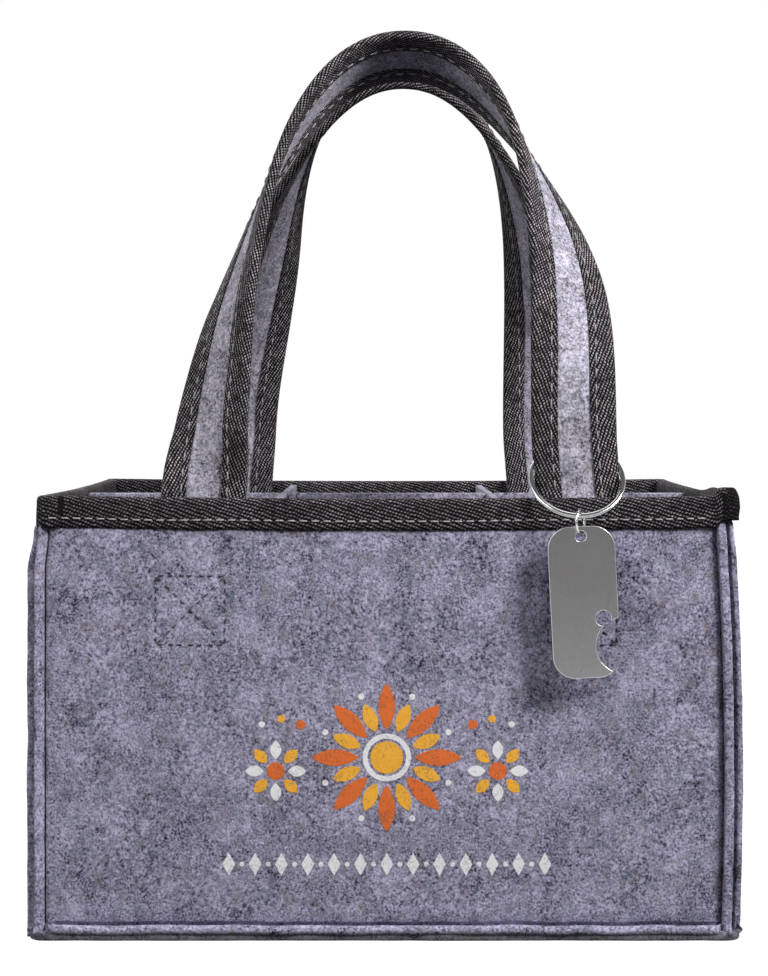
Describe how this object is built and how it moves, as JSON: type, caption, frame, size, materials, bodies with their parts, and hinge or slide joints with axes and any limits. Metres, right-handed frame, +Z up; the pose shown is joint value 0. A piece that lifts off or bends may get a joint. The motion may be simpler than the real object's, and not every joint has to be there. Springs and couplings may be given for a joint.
{
  "type": "six pack carrier",
  "caption": "Open felt carrier that holds bottles upright in divided bays, with tape-bound rim, two arched strap handles and a steel opener on a key ring.",
  "frame": {"origin": "middle of the base's underside, on the surface it stands on", "axes": "+X to the right seen from the printed front, +Y to the back, +Z up"},
  "size_m": [0.2594, 0.1823, 0.338],
  "materials": {
    "felt": "mottled grey felt",
    "divider_felt": "mottled grey felt",
    "tape": "black twill tape",
    "dark_thread": "sewing thread",
    "pale_thread": "sewing thread",
    "plated_wire": "bright plated",
    "steel": "satin"
  },
  "bodies": {
    "bag": {"base_panel": "felt", "front_panel": "felt", "back_panel": "felt", "left_side_panel": "felt", "right_side_panel": "felt", "rim_binding": "tape", "rim_stitch": "pale_thread", "front_left_tail_felt": "felt", "front_left_tail_inner_tape": "tape", "front_left_tail_outer_tape": "tape", "front_right_tail_felt": "felt", "front_right_tail_inner_tape": "tape", "front_right_tail_outer_tape": "tape", "rear_left_tail_felt": "felt", "rear_left_tail_inner_tape": "tape", "rear_left_tail_outer_tape": "tape", "rear_right_tail_felt": "felt", "rear_right_tail_inner_tape": "tape", "rear_right_tail_outer_tape": "tape", "front_left_box_stitch": "dark_thread", "front_right_box_stitch": "dark_thread", "rear_left_box_stitch": "dark_thread", "rear_right_box_stitch": "dark_thread"},
    "front_handle": {"front_loop_felt": "felt", "front_loop_inner_tape": "tape", "front_loop_outer_tape": "tape"},
    "rear_handle": {"rear_loop_felt": "felt", "rear_loop_inner_tape": "tape", "rear_loop_outer_tape": "tape"},
    "divider_insert": {"long_divider": "divider_felt", "left_cross_divider": "divider_felt", "right_cross_divider": "divider_felt"},
    "key_ring": {"key_ring": "plated_wire"},
    "jump_ring": {"jump_ring": "plated_wire"},
    "opener": {"opener": "steel"}
  },
  "joints": [
    {"name": "front_handle_fold", "type": "hinge", "parent": "bag", "child": "front_handle", "pos_m": [0, -0.0833, 0.178], "axis": [1, 0, 0], "range_deg": [-2, 165]},
    {"name": "rear_handle_fold", "type": "hinge", "parent": "bag", "child": "rear_handle", "pos_m": [0, 0.0833, 0.178], "axis": [-1, 0, 0], "range_deg": [-2, 165]},
    {"name": "insert_lift", "type": "slide", "parent": "bag", "child": "divider_insert", "axis": [0, 0, 1], "range_m": [0, 0.05]},
    {"name": "key_ring_swing", "type": "hinge", "parent": "bag", "child": "key_ring", "pos_m": [0.06897, -0.07695, 0.16927], "axis": [1, 0, 0], "range_deg": [-55, 0]},
    {"name": "jump_ring_swing", "type": "hinge", "parent": "key_ring", "child": "jump_ring", "pos_m": [0.06897, -0.09129, 0.15277], "axis": [1, 0, 0], "range_deg": [-60, 0]},
    {"name": "opener_swing", "type": "hinge", "parent": "jump_ring", "child": "opener", "pos_m": [0.06897, -0.09129, 0.14668], "axis": [0, 1, 0], "range_deg": [-20, 20]}
  ]
}
